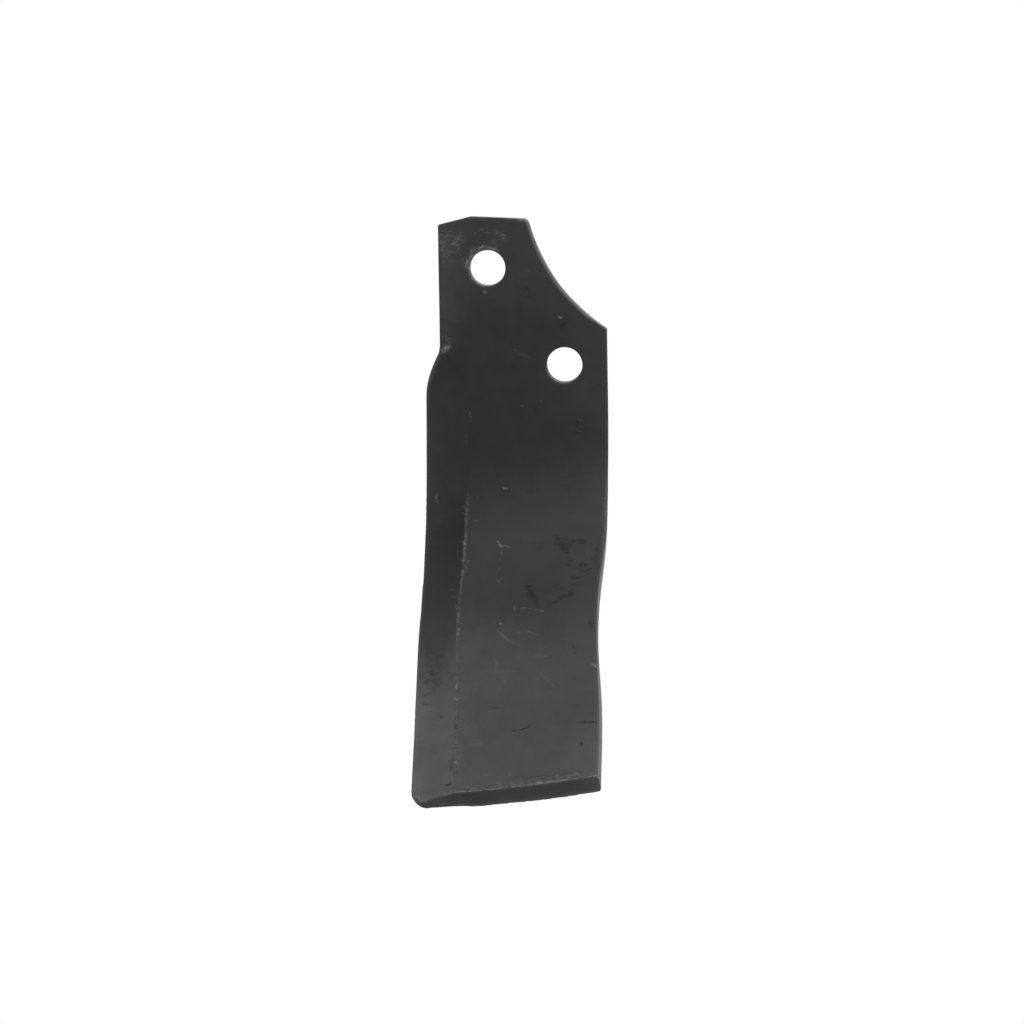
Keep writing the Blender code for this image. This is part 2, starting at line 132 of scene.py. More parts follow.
# smudges and worn spots, with strokes of painted shadow and painted shade among the soot, in the
# blade's own frame: start, end, half width, soft edge, strength
smudgesAndShadows = {
    "sootAndShadow": [
        ((-47.6, -125.2, -203.6), (-45.3, -128.2, -205.0), 0.4, 0.9, 1.0),
        ((-44.4, -128.4, -205.5), (-42.5, -128.6, -206.0), 0.4, 0.9, 0.9),
        # painted shadow: the dark line just under the bright rim of the tip
        ((-41.0, -130.1, -204.3), (-34.3, -132.6, -201.7), 0.1, 0.9, 0.6),
        ((-34.3, -132.6, -201.7), (-28.5, -134.6, -199.7), 0.1, 0.9, 0.6),
        ((-28.5, -134.6, -199.7), (-23.7, -135.5, -198.9), 0.1, 0.9, 0.5),
        ((1.6, -136.8, -198.1), (15.5, -137.9, -196.4), 0.4, 1.6, 0.3),
        # painted shade in the hollow below the notch
        ((-37.3, -9.6, -18.2), (-36.6, -9.3, -20.5), 0.8, 2.6, 0.3),
        ((-38.8, -7.9, -23.4), (-39.9, -6.4, -29.0), 0.6, 3.5, 0.3),
        ((-31.8, -9.7, -25.6), (-29.5, -10.0, -26.6), 0.5, 2.0, 0.35),
        ((15.6, -10.0, -2.7), (16.5, -10.0, -4.0), 1.0, 2.5, 0.5),
        ((-3.5, -10.0, 15.5), (0.2, -10.0, 12.7), 0.6, 2.5, 0.35),
        ((1.0, -10.0, 9.5), (3.3, -10.0, 8.1), 0.6, 2.2, 0.35),
        ((12.8, -24.3, -100.9), (17.5, -25.4, -101.5), 0.3, 1.2, 1.0),
        ((12.9, -26.1, -103.5), (18.8, -27.8, -104.5), 0.7, 1.6, 1.0),
        ((21.1, -26.5, -102.3), (25.3, -27.5, -102.7), 0.8, 1.1, 1.0),
        ((18.4, -26.9, -103.4), (21.1, -26.5, -102.3), 0.2, 1.2, 0.7),
        ((16.1, -27.1, -104.1), (17.9, -29.3, -106.6), 1.0, 1.4, 1.0),
        ((17.9, -30.0, -107.4), (18.9, -33.5, -111.2), 0.2, 1.6, 0.5),
        ((18.4, -34.7, -112.4), (23.5, -36.5, -113.2), 0.4, 1.8, 0.6),
        ((5.0, -26.7, -105.9), (6.4, -25.6, -104.1), 0.2, 2.0, 0.5),
        ((24.9, -35.5, -111.9), (26.7, -36.7, -112.7), 0.5, 1.2, 0.8),
        ((26.5, -38.7, -114.5), (28.6, -38.4, -113.9), 0.4, 1.2, 0.75),
        ((28.5, -33.0, -108.6), (30.4, -34.5, -109.8), 0.3, 1.6, 0.6),
        ((20.3, -40.6, -117.4), (23.1, -41.2, -117.4), 0.8, 1.1, 1.0),
        ((24.4, -38.0, -114.4), (25.8, -39.2, -115.1), 0.3, 1.4, 0.5),
        ((12.1, -42.4, -120.6), (13.1, -42.6, -120.6), 0.3, 1.8, 0.5),
        ((0.2, -40.1, -121.2), (1.4, -43.3, -123.6), 0.8, 1.4, 0.85),
        ((1.4, -43.3, -123.6), (3.1, -46.8, -125.9), 0.9, 1.3, 0.88),
        ((2.6, -46.7, -125.9), (4.8, -51.9, -129.3), 0.2, 1.3, 0.62),
        ((22.1, -75.9, -143.9), (22.2, -78.9, -146.2), 0.4, 1.6, 0.55),
        ((-10.1, -65.1, -142.4), (-9.5, -75.3, -150.0), 0.3, 2.0, 0.12),
        ((-11.9, -55.3, -135.4), (-11.9, -57.3, -136.9), 1.2, 0.9, 0.5),
        ((-31.5, -16.7, -97.8), (-31.2, -19.1, -102.2), 0.3, 1.2, 0.8),
        ((-31.3, -12.7, -87.1), (-31.5, -14.8, -93.4), 0.2, 1.4, 0.45),
        ((23.3, -10.0, -49.0), (24.7, -10.0, -49.9), 0.3, 1.0, 0.8),
        ((22.8, -10.1, -54.0), (24.2, -10.1, -54.3), 0.3, 1.0, 0.8),
        ((-11.7, -12.9, -80.6), (-9.4, -13.0, -80.6), 0.2, 1.0, 0.6),
        ((-0.6, -10.0, -39.4), (4.0, -10.0, -44.1), 0.3, 2.0, 0.25),
        ((-10.0, 0.0, -60.0), (4.0, -0.6, -66.0), 1.0, 4.0, 0.6),
        ((20.0, -26.3, -118.0), (24.0, -38.6, -128.0), 0.8, 3.0, 0.7),
        ((-30.0, -53.6, -150.0), (-26.0, -64.9, -158.0), 0.6, 3.0, 0.6),
    ],
    "brown": [
        ((-25.1, -134.3, -200.3), (-20.7, -134.7, -200.1), 0.8, 2.5, 0.6),
        ((31.3, -30.8, -105.6), (32.0, -33.6, -108.5), 0.5, 1.6, 0.8),
        ((29.5, -34.7, -110.2), (31.8, -37.8, -112.6), 0.4, 2.0, 0.6),
        ((15.9, -49.5, -125.2), (19.5, -48.8, -124.0), 0.9, 1.6, 1.0),
        ((17.7, -49.4, -124.8), (20.4, -46.9, -122.4), 0.4, 1.4, 0.7),
        ((9.1, -52.4, -128.9), (10.9, -52.1, -128.2), 0.5, 1.0, 0.9),
        ((10.5, -51.7, -128.1), (13.7, -51.0, -126.8), 0.5, 1.0, 1.0),
        ((6.4, -51.2, -128.5), (8.7, -50.8, -127.7), 0.3, 1.4, 0.5),
        ((20.4, -44.9, -120.8), (24.0, -44.7, -119.9), 0.4, 2.2, 0.5),
        ((14.5, -45.0, -122.1), (16.3, -44.4, -121.3), 0.3, 1.6, 0.5),
        ((32.0, -46.1, -119.4), (32.3, -49.4, -122.2), 0.2, 1.2, 0.6),
        ((29.0, -64.9, -134.2), (29.7, -67.6, -136.1), 0.3, 1.1, 0.85),
        # broad darker haze down the bevel: brown staining, and painted shade carrying the bevel's
        # shade on lower down
        ((-45.0, -26.4, -124.4), (-39.9, -35.7, -129.7), 2.0, 5.0, 0.45),
        ((-45.0, -37.0, -134.6), (-38.6, -54.9, -143.6), 2.0, 5.0, 0.45),
        ((-44.7, -52.5, -146.2), (-39.7, -72.1, -157.5), 2.0, 5.0, 0.38),
        ((-45.4, -26.8, -125.3), (-41.5, -31.1, -126.6), 1.0, 3.5, 0.7),
        ((-40.4, -35.3, -129.7), (-37.0, -38.7, -130.2), 0.5, 2.0, 0.8),
        ((-45.6, -34.6, -133.0), (-43.4, -41.8, -137.1), 1.0, 2.8, 0.8),
        ((-41.9, -43.0, -137.0), (-38.1, -45.0, -135.8), 0.7, 2.0, 0.9),
        ((-37.6, -45.9, -136.2), (-37.3, -53.9, -141.9), 0.4, 1.5, 0.9),
        ((-45.2, -43.4, -139.7), (-43.1, -47.2, -141.0), 0.6, 2.2, 0.7),
        ((-45.2, -51.1, -145.5), (-44.5, -57.8, -150.0), 0.8, 2.5, 0.8),
        ((-40.2, -61.2, -149.5), (-38.2, -63.7, -150.1), 0.6, 1.0, 1.0),
        ((-45.9, -61.1, -153.6), (-42.3, -64.6, -153.6), 0.5, 1.5, 0.9),
        ((-41.4, -64.3, -152.7), (-38.9, -68.2, -154.0), 0.4, 1.4, 0.8),
        ((-43.1, -67.4, -156.3), (-41.6, -70.6, -157.7), 0.7, 1.6, 0.9),
        ((-45.7, -69.3, -159.7), (-44.2, -72.5, -161.0), 0.5, 1.6, 0.8),
        ((-41.9, -72.3, -159.2), (-39.5, -76.2, -160.5), 0.6, 1.8, 0.7),
        ((-42.2, -76.1, -162.3), (-40.7, -78.7, -163.3), 0.3, 1.2, 0.8),
        ((-33.9, -58.3, -143.2), (-33.4, -64.6, -147.7), 0.1, 1.2, 0.6),
        ((-44.9, -76.9, -164.9), (-41.6, -79.5, -164.5), 0.5, 1.4, 0.9),
        ((-46.1, -80.4, -168.4), (-44.2, -82.9, -168.9), 0.3, 1.3, 0.9),
        ((-38.8, -91.9, -172.0), (-37.3, -93.9, -172.6), 0.6, 2.2, 0.5),
        ((-40.0, -105.5, -183.2), (-39.4, -108.8, -185.3), 0.8, 2.5, 0.35),
        ((-31.8, -118.2, -187.7), (-31.0, -122.5, -190.5), 0.6, 1.5, 0.9),
        ((-35.1, -73.5, -155.5), (-33.1, -76.7, -156.8), 0.3, 1.6, 0.3),
        ((-12.6, -10.0, -7.4), (-10.8, -10.0, -9.7), 0.8, 2.2, 0.45),
        ((-28.7, -10.0, -6.3), (-26.9, -10.0, -8.6), 0.5, 2.0, 0.35),
        ((-8.5, -10.0, -10.7), (-7.1, -10.0, -13.4), 0.4, 2.0, 0.3),
        ((17.4, -10.0, -22.1), (17.4, -10.0, -22.0), 8.6, 1.4, 0.5),
        ((-30.0, -14.6, -112.0), (-24.0, -25.5, -126.0), 1.2, 4.5, 0.7),
        ((10.0, -77.1, -160.0), (18.0, -92.5, -170.0), 1.0, 4.0, 0.6),
        ((17.4, 0.0, -22.1), (17.4, 0.0, -22.0), 8.6, 1.6, 0.6),
    ],
    "rust": [
        ((-45.9, -74.6, -163.9), (-41.0, -82.9, -166.7), 1.2, 3.0, 0.7),
        ((-42.8, -84.0, -168.7), (-37.9, -91.1, -170.8), 2.0, 5.0, 0.45),
        ((-36.7, -107.4, -182.4), (-32.3, -116.9, -187.0), 2.0, 5.0, 0.7),
        ((-31.7, -109.7, -181.2), (-28.6, -121.6, -188.9), 1.5, 3.5, 0.8),
        ((32.3, -126.0, -180.2), (32.4, -140.2, -190.9), 1.5, 3.0, 0.5),
        ((-31.0, -83.0, -160.4), (-30.3, -90.2, -165.6), 0.8, 2.5, 0.5),
    ],
    "tan": [
        ((-18.7, -10.0, 24.2), (-18.7, -10.0, 24.3), 8.4, 1.0, 0.75),
        ((-27.7, -10.0, 26.5), (-27.9, -10.0, 23.5), 0.5, 1.8, 0.35),
        ((-17.7, -10.0, 22.2), (-17.7, -10.0, 22.3), 8.3, 0.7, 0.45),
        ((17.2, -10.0, -22.7), (17.2, -10.0, -22.6), 8.3, 0.7, 0.35),
        ((-17.6, 0.0, 22.8), (-17.6, 0.0, 22.9), 8.4, 1.0, 0.7),
    ],
    "flecks": [
        ((-37.7, -10.0, 37.6), (-30.8, -10.0, 36.6), 2.0, 2.6, 0.4),
        ((-37.8, -10.0, 32.5), (-32.3, -10.0, 31.6), 2.0, 2.2, 0.4),
        ((-38.3, -10.0, 28.9), (-35.6, -10.0, 25.6), 1.2, 2.0, 0.36),
        ((-22.0, -10.0, 38.8), (-16.9, -10.0, 39.6), 0.8, 1.6, 0.3),
        ((-13.3, -10.0, 38.2), (-9.6, -10.0, 36.3), 1.2, 2.2, 0.38),
        ((-16.5, -10.0, 34.6), (-12.9, -10.0, 34.1), 0.8, 1.6, 0.3),
        ((-9.5, -10.0, 41.8), (-8.7, -10.0, 38.6), 0.5, 1.5, 0.3),
        ((-18.8, -10.0, 24.6), (-18.8, -10.0, 24.7), 8.2, 1.2, 0.4),
        ((17.2, -10.0, -22.8), (17.2, -10.0, -22.7), 8.2, 0.8, 0.3),
        ((-4.0, -3.9, -84.0), (22.0, -8.9, -92.0), 2.5, 4.0, 0.4),
        ((-20.0, -6.9, -96.0), (-6.0, -9.5, -99.0), 1.5, 3.0, 0.36),
        ((27.0, 0.0, -4.0), (31.0, 0.0, -13.0), 1.0, 3.0, 0.34),
    ],
}

# scratches: the same, bare metal, or dark where the strength is negative
scratches = [
    ((-14.2, -22.0, -102.7), (-12.6, -23.6, -105.1), 0.15, 0.6, 0.66),
    ((-12.6, -23.6, -105.1), (-11.2, -23.4, -104.5), 0.1, 0.5, 0.29),
    ((-10.7, -23.6, -104.7), (-7.5, -24.2, -104.9), 0, 0.6, 0.25),
    ((-12.5, -25.1, -107.3), (-12.5, -26.0, -108.5), 0, 0.6, 0.22),
    ((-13.0, -27.2, -110.2), (-13.0, -28.1, -111.5), 0, 0.5, 0.14),
    ((-13.4, -29.8, -113.6), (-13.3, -30.5, -114.5), 0, 0.5, 0.14),
    ((-13.5, -34.2, -118.6), (-13.2, -35.7, -120.0), 0, 0.7, 0.29),
    ((-6.0, -48.5, -129.0), (-5.7, -50.4, -130.4), 0, 0.6, 0.25),
    ((-5.9, -50.3, -130.4), (-0.9, -51.0, -129.9), 0, 0.6, 0.29),
    ((-0.9, -51.0, -129.9), (3.7, -52.9, -130.3), 0, 0.6, 0.22),
    ((3.7, -52.9, -130.3), (7.4, -54.6, -130.8), 0, 0.6, 0.27),
    ((3.5, -46.4, -125.5), (5.0, -51.9, -129.3), 0, 0.6, -0.5),
    ((-12.0, -55.9, -135.9), (-11.8, -56.7, -136.4), 0.3, 0.5, 0.66),
    ((-12.5, -60.0, -139.0), (-10.1, -63.6, -141.3), 0, 0.8, 0.29),
    ((-10.1, -63.6, -141.3), (-6.8, -66.9, -143.1), 0, 0.9, 0.24),
    ((-6.8, -66.9, -143.1), (-3.2, -68.8, -143.8), 0, 0.8, 0.2),
    ((-3.8, -62.8, -139.4), (0.7, -63.2, -138.7), 0, 1.0, 0.11),
    ((0.7, -63.2, -138.7), (3.5, -65.1, -139.6), 0.1, 1.0, 0.22),
    ((3.5, -65.1, -139.6), (5.8, -66.9, -140.5), 0, 0.7, 0.17),
    ((4.7, -76.7, -148.1), (10.1, -78.0, -148.0), 0.1, 1.2, 0.14),
    ((-14.3, -72.7, -149.0), (-12.4, -78.6, -153.1), 0, 1.2, 0.09),
    ((-12.4, -78.6, -153.1), (-9.0, -86.4, -158.3), 0, 1.2, 0.08),
    ((-18.6, -78.9, -154.6), (-5.1, -82.1, -154.2), 0, 1.1, 0.08),
    ((7.1, -85.8, -154.5), (10.8, -91.1, -157.7), 0.1, 0.9, 0.12),
    ((10.8, -91.1, -157.7), (13.9, -94.8, -159.9), 0, 0.9, 0.09),
    ((-24.5, -113.0, -181.6), (-19.2, -114.4, -181.6), 0.1, 1.3, 0.12),
    ((-14.8, -99.3, -169.2), (-12.1, -99.9, -169.1), 0, 0.8, 0.07),
    ((-13.8, -97.9, -168.0), (-12.0, -98.3, -167.9), 0.1, 0.7, -0.8),
    ((-15.4, -96.5, -167.3), (-13.8, -97.9, -168.0), 0, 0.6, -0.4),
    ((-5.0, -111.0, -176.1), (-0.8, -111.4, -175.5), 0.1, 0.6, -0.9),
    ((-0.8, -111.4, -175.5), (3.0, -110.2, -173.8), 0.15, 0.6, -1.0),
    ((24.6, -113.8, -172.1), (31.0, -115.3, -171.9), 0.15, 0.6, -1.0),
    ((25.7, -112.9, -171.2), (30.1, -113.9, -170.9), 0, 0.6, 0.11),
    ((25.1, -123.8, -179.5), (25.4, -125.0, -180.4), 0.2, 0.5, -0.8),
    ((-33.3, -129.1, -197.0), (-31.2, -129.8, -196.3), 0.3, 0.5, -0.9),
    ((-44.4, -127.9, -203.4), (-42.6, -129.8, -203.5), 0.2, 0.8, 0.38),
    ((-33.6, -127.6, -196.0), (-31.4, -128.3, -195.2), 0, 0.6, 0.09),
    ((-36.4, -32.1, -123.7), (-33.0, -34.3, -123.7), 0, 0.5, 0.16),
    ((-35.8, -35.4, -126.5), (-32.9, -37.4, -126.5), 0, 0.5, 0.16),
    ((-33.0, -35.1, -124.4), (-29.7, -36.6, -124.3), 0, 0.5, 0.18),
    ((-32.4, -38.1, -126.8), (-29.6, -39.3, -126.7), 0, 0.5, 0.14),
    ((-32.0, -24.0, -110.9), (-27.3, -25.7, -111.2), 0, 0.7, 0.25),
    ((-30.5, -25.6, -112.1), (-28.2, -27.8, -114.2), 0, 0.9, 0.22),
    ((-32.8, -41.1, -129.5), (-31.6, -48.1, -134.1), 0, 0.7, 0.29),
    ((-31.2, -54.6, -138.8), (-31.1, -55.5, -139.5), 0.15, 0.6, 0.38),
    ((-31.2, -56.9, -140.6), (-31.2, -57.8, -141.3), 0.2, 0.6, 0.66),
    ((-30.8, -82.7, -160.0), (-30.8, -83.7, -160.8), 0.25, 0.7, 0.57),
    ((-30.8, -89.1, -164.9), (-30.3, -90.5, -165.8), 0.25, 0.7, 0.57),
    ((-29.8, -84.4, -161.1), (-29.8, -87.9, -163.7), 0, 0.7, -0.6),
    ((-30.9, -96.5, -170.6), (-30.9, -97.5, -171.4), 0, 0.7, 0.18),
    ((-31.3, -92.6, -167.9), (-31.3, -93.6, -168.6), 0, 0.6, 0.11),
    ((-29.7, -120.4, -188.2), (-29.0, -121.8, -189.1), 0.25, 0.7, 0.43),
    ((-28.7, -124.9, -191.4), (-29.5, -125.6, -192.2), 0, 0.8, -0.4),
    ((-25.6, -16.2, -93.5), (-23.8, -16.4, -93.6), 0, 0.5, 0.22),
    ((-27.5, -15.3, -91.5), (-27.4, -15.6, -92.1), 0, 0.6, 0.22),
    ((-23.6, -12.8, -82.8), (-23.5, -13.0, -83.3), 0, 0.6, 0.25),
    ((-11.1, -12.6, -79.1), (-10.1, -12.6, -79.2), 0.2, 0.6, 0.66),
    ((-31.3, -19.2, -102.7), (-31.2, -19.6, -103.2), 0, 0.6, 0.32),
    ((-29.7, -20.1, -102.8), (-29.6, -20.7, -103.9), 0.25, 0.7, 0.52),
    ((-30.6, -13.1, -87.3), (-29.1, -13.7, -87.7), 0, 0.6, 0.25),
    ((-30.8, -13.9, -90.2), (-29.8, -14.5, -90.7), 0, 0.6, 0.14),
    ((-18.5, -10.0, 12.5), (-18.8, -10.0, 10.9), 0.2, 0.6, 0.47),
    ((-0.1, -10.0, 23.1), (0.3, -10.0, 21.7), 0, 0.8, 0.2),
    ((0.3, -10.0, 21.3), (2.1, -10.0, 21.0), 0, 0.8, 0.14),
    ((15.3, -10.0, -0.5), (15.8, -10.0, -0.6), 0.25, 0.7, 0.47),
    ((6.1, -10.0, -39.3), (6.5, -10.0, -39.3), 0, 0.6, 0.32),
    ((-2.5, -10.0, -41.2), (-2.1, -10.0, -41.3), 0, 0.6, 0.29),
    ((-26.8, -10.0, -45.1), (-26.3, -10.0, -45.8), 0.3, 0.6, 0.57),
    ((-26.5, -10.0, -43.5), (-26.6, -10.0, -47.5), 0, 0.7, 0.22),
    ((-28.4, -9.7, -54.0), (-28.4, -9.8, -58.1), 0, 1.0, 0.09),
    ((23.3, -10.0, -52.7), (23.7, -10.0, -53.1), 0.1, 0.6, 0.36),
    ((24.0, -10.0, -48.3), (24.3, -10.0, -48.5), 0, 0.5, 0.22),
    ((-42.7, -6.9, -83.4), (-42.8, -7.3, -85.5), 0.2, 0.8, 0.52),
    ((-42.6, -6.2, -79.7), (-42.8, -6.5, -81.6), 0, 0.7, 0.13),
    ((-39.0, -9.8, -15.7), (-36.4, -10.0, -14.2), 0.55, 0.7, 0.76),
    ((-36.5, -10.0, -10.5), (-35.0, -10.0, -13.4), 0.12, 0.8, 0.22),
    ((-38.0, -10.0, -8.7), (-35.7, -10.0, -9.4), 0, 1.2, 0.07),
    ((-39.9, -9.2, -17.3), (-43.9, -5.2, -27.2), 0, 0.5, 0.12),
    ((-5.3, -10.0, -15.3), (-2.6, -10.0, -17.4), 0, 1.5, 0.1),
    ((-2.6, -10.0, -17.4), (0.6, -10.0, -18.6), 0, 1.3, 0.09),
    ((-1.0, -136.2, -194.2), (16.4, -138.2, -192.2), 0, 0.7, 0.19),
    ((16.4, -138.2, -192.2), (31.2, -139.6, -190.2), 0, 0.7, 0.22),
    ((-11.1, -134.8, -195.3), (-1.0, -136.2, -194.2), 0, 0.9, 0.12),
    ((-9.7, -136.3, -196.1), (3.4, -138.8, -195.3), 0, 0.9, 0.18),
    ((6.9, -139.2, -194.9), (17.7, -140.0, -193.3), 0.2, 0.8, 0.71),
    ((22.9, -140.5, -192.6), (30.3, -141.0, -191.4), 0.1, 0.8, 0.29),
    ((-16.9, -129.5, -192.5), (-12.5, -129.8, -191.8), 0, 1.2, 0.09),
    ((-23.7, -133.8, -197.1), (-20.2, -134.4, -196.8), 0.1, 0.8, 0.54),
    ((29.9, -86.7, -150.5), (31.6, -88.0, -151.2), 0.2, 0.7, 0.57),
    ((2.6, -134.8, -192.5), (11.0, -136.1, -191.7), 0, 0.5, -0.6),
    ((0.7, -135.6, -193.4), (2.7, -136.0, -193.4), 0.1, 0.5, -0.5),
    ((7.9, -137.2, -193.2), (10.3, -137.5, -192.9), 0.1, 0.5, -0.45),
    ((18.4, -138.7, -192.1), (18.6, -138.7, -192.1), 0.2, 0.5, -0.7),
    ((16.2, -136.8, -191.1), (17.8, -137.2, -191.1), 0.1, 0.5, -0.4),
    ((18.1, -136.7, -190.7), (20.3, -137.1, -190.5), 0.1, 0.5, -0.4),
    ((25.1, -138.2, -190.4), (26.8, -138.5, -190.2), 0.1, 0.5, -0.4),
    ((14.6, -137.0, -191.6), (17.3, -138.1, -191.9), 0.1, 0.7, 0.32),
    ((22.9, -137.5, -190.3), (24.6, -138.4, -190.6), 0.1, 0.8, 0.24),
    ((-5.3, -130.5, -190.8), (-5.4, -132.1, -192.1), 0.1, 1.0, 0.09),
    ((-1.2, -136.8, -194.8), (-0.3, -137.4, -195.0), 0.2, 0.6, 0.47),
    ((6.7, -138.3, -194.3), (8.6, -138.6, -194.1), 0.2, 0.6, 0.71),
    ((-28.7, -131.7, -203.4), (-24.4, -131.8, -203.7), 0.5, 2.0, 0.11),
    ((-38.9, -129.9, -204.8), (-33.2, -130.3, -204.9), 0.4, 1.5, 0.11),
    ((-44.7, -127.0, -202.9), (-41.9, -129.5, -202.9), 1.2, 2.0, 0.11),
    ((-47.2, -124.1, -202.5), (-47.0, -125.0, -203.0), 0.2, 0.5, 0.76),
    ((-45.9, -125.2, -202.4), (-45.8, -126.2, -203.0), 0.2, 0.5, 0.76),
    ((-45.6, -126.9, -203.4), (-45.3, -127.5, -203.7), 0.2, 0.5, 0.66),
    ((-25.0, -0.1, -20.0), (-6.0, 0.0, -31.0), 0, 0.6, 0.3),
    ((-6.0, 0.0, -31.0), (2.0, 0.0, -33.0), 0, 0.6, 0.2),
    ((8.0, 0.0, -48.0), (21.0, -0.2, -58.0), 0, 0.7, 0.25),
    ((-14.0, -11.2, -104.0), (-2.0, -24.9, -121.0), 0, 0.7, 0.3),
    ((5.0, -36.1, -130.0), (26.0, -51.0, -137.0), 0, 0.8, 0.25),
    ((-22.0, -84.2, -172.0), (-8.0, -93.3, -176.0), 0, 0.7, 0.28),
    ((-33.0, 0.0, 35.0), (-22.0, 0.0, 38.0), 0, 0.6, 0.25),
    ((0.0, -10.6, -100.0), (1.5, -12.4, -103.0), 0.2, 0.6, 0.6),
    ((28.0, -115.1, -185.0), (29.0, -120.7, -189.0), 0.2, 0.6, 0.5),
]


def copyOfFrame(name, newName):
    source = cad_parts[name]
    onlySelect(source)
    bpy.ops.object.duplicate()
    copy = bpy.context.view_layer.objects.active
    copy.name = newName
    bpy.ops.object.mode_set(mode="EDIT")
    bpy.ops.mesh.select_all(action="SELECT")
    bpy.ops.mesh.remove_doubles(threshold=0.01 * mm)
    bpy.ops.object.mode_set(mode="OBJECT")
    return copy


def foldPoints(piece, angles):
    # points along the edges whose faces meet at such an angle
    mesh = bmesh.new()
    mesh.from_mesh(piece.data)
    points = []
    for edge in mesh.edges:
        if len(edge.link_faces) != 2:
            continue
        angle = math.degrees(edge.calc_face_angle(0))
        if not angles[0] <= angle <= angles[1]:
            continue
        start, end = edge.verts[0].co, edge.verts[1].co
        count = max(1, math.ceil((end - start).length / (blade["foldStep"] * mm)))
        points += [start.lerp(end, i / count) for i in range(count + 1)]
    mesh.free()
    return points


def treeOf(points):
    tree = kdtree.KDTree(len(points))
    for index, point in enumerate(points):
        tree.insert(point, index)
    tree.balance()
    return tree


def drawOnto(piece, points, grip):
    # corners near the points are drawn onto the nearest one
    tree = treeOf(points)
    for vertex in piece.data.vertices:
        point, _, distance = tree.find(vertex.co)
        if distance < grip * mm:
            vertex.co = point


def cornersOf(piece):
    # the places of the corners in millimetres, and their normals
    count = len(piece.data.vertices)
    places, normals = np.zeros(count * 3), np.zeros(count * 3)
    piece.data.vertices.foreach_get("co", places)
    piece.data.vertices.foreach_get("normal", normals)
    return places.reshape(-1, 3) / mm, normals.reshape(-1, 3)


def storeValues(piece, name, values):
    if values.ndim == 1:
        layer = piece.data.attributes.new(name, "FLOAT", "POINT")
        layer.data.foreach_set("value", values)
    else:
        layer = piece.data.attributes.new(name, "FLOAT_VECTOR", "POINT")
        layer.data.foreach_set("vector", values.ravel())


def storeNearness(piece, name, points):
    # 1 on the points, 0 at reach from them
    tree = treeOf(points)
    away = np.array([tree.find(vertex.co)[2] for vertex in piece.data.vertices])
    storeValues(piece, name, np.maximum(0, 1 - away / (blade["reach"] * mm)))


def storeUnrolled(piece):
    # every corner's place on the bar as it was before the bend: across, down, height,
    # and how far its face looks out of the bar's side instead of its front or back
    places, normals = cornersOf(piece)
    along = np.array((math.cos(bend["slant"]), 0, math.sin(bend["slant"])))
    past = np.array((math.sin(bend["slant"]), 0, -math.cos(bend["slant"])))
    forward = places @ past - bend["start"]
    toCentre = bend["radius"] + places[:, 1] + bend["halfThickness"]
    turn = np.clip(np.arctan2(forward, toCentre), 0, bend["angle"])
    onFoot = turn >= bend["angle"]
    straight = forward * np.cos(turn) - toCentre * np.sin(turn)
    down = bend["start"] + bend["radius"] * turn + np.where(onFoot | (turn <= 0), straight, 0)
    height = bend["radius"] - forward * np.sin(turn) - toCentre * np.cos(turn)
    flat = np.outer(places @ along, along) + np.outer(down, past)
    storeValues(piece, "unrolled", np.stack((flat[:, 0], -flat[:, 2], height), axis=1))
    through = -np.outer(np.sin(turn), past) + np.outer(np.cos(turn), (0, -1, 0))
    storeValues(piece, "wall", 1 - np.abs((through * normals).sum(axis=1)))


def nearLine(places, start, end):
    # the distance from a line, the way along it and how far past its ends a place lies
    start, way = np.array(start), np.array(end) - np.array(start)
    length = np.linalg.norm(way)
    way = way / length
    along = (places - start) @ way
    within = np.clip(along, 0, length)
    return np.linalg.norm(places - start - np.outer(within, way), axis=1), way, along - within


def strayed(places, size, reach):
    # the places, each pushed about by up to the reach
    noise.seed_set(blade["straySeed"])
    pushes = [noise.noise_vector(Vector(place) / size) for place in places]
    return places + np.array(pushes) * reach


def storeSmudgesAndShadows(piece, name, strokes):
    # 1 within half the width of a stroke, 0 past its soft edge
    places = strayed(cornersOf(piece)[0], blade["straySize"], blade["strayReach"])
    found = np.zeros(len(places))
    for start, end, halfWidth, soft, strength in strokes:
        distance = nearLine(places, start, end)[0]
        share = np.clip(1 - (distance - halfWidth) / soft, 0, 1)
        found = np.maximum(found, share * share * (3 - 2 * share) * strength)
    storeValues(piece, name, found)


def storeScratches(piece, strokes):
    # the offset from the nearest scratch, across it and past its ends, which stays exact
    # between the corners, and that scratch's half width, soft edge and strength
    places, normals = cornersOf(piece)
    nearest = np.full(len(places), np.inf)
    offset = np.full((len(places), 3), 9.0)     # far enough to show nothing
    shape = np.zeros((len(places), 3))
    for start, end, halfWidth, soft, strength in strokes:
        distance, way, beyond = nearLine(places, start, end)
        near = distance < halfWidth + soft + blade["scratchMargin"]
        here = near & (distance < nearest)
        nearest[here] = distance[here]
        across = ((places - np.array(start)) * np.cross(normals, way)).sum(axis=1)
        offset[here] = np.stack((across, beyond, beyond * 0), axis=1)[here]
        shape[here] = (halfWidth, soft, strength)
    storeValues(piece, "scratchOffset", offset)
    storeValues(piece, "scratchShape", shape)


def pressMark(piece, start, end, width, depth):
    start, end = Vector(start) * mm, Vector(end) * mm
    width, depth = width * mm, depth * mm
    reach = blade["gougeReach"] * width
    way = end - start
    for vertex in piece.data.vertices:
        if (vertex.co - start).length > way.length + reach:
            continue
        part = min(max((vertex.co - start).dot(way) / way.length_squared, 0), 1)
        distance = (vertex.co - start - way * part).length
        if distance < reach:
            vertex.co -= vertex.normal * depth * math.exp(-(distance / width) ** 2)


def swellOutline(piece):
    places = cornersOf(piece)[0]
    for centre, reach, push in swells:
        near = np.exp(-(((places - centre) / reach) ** 2).sum(axis=1))
        places = places + near[:, None] * push
    piece.data.vertices.foreach_set("co", (places * mm).ravel())
    piece.data.update()


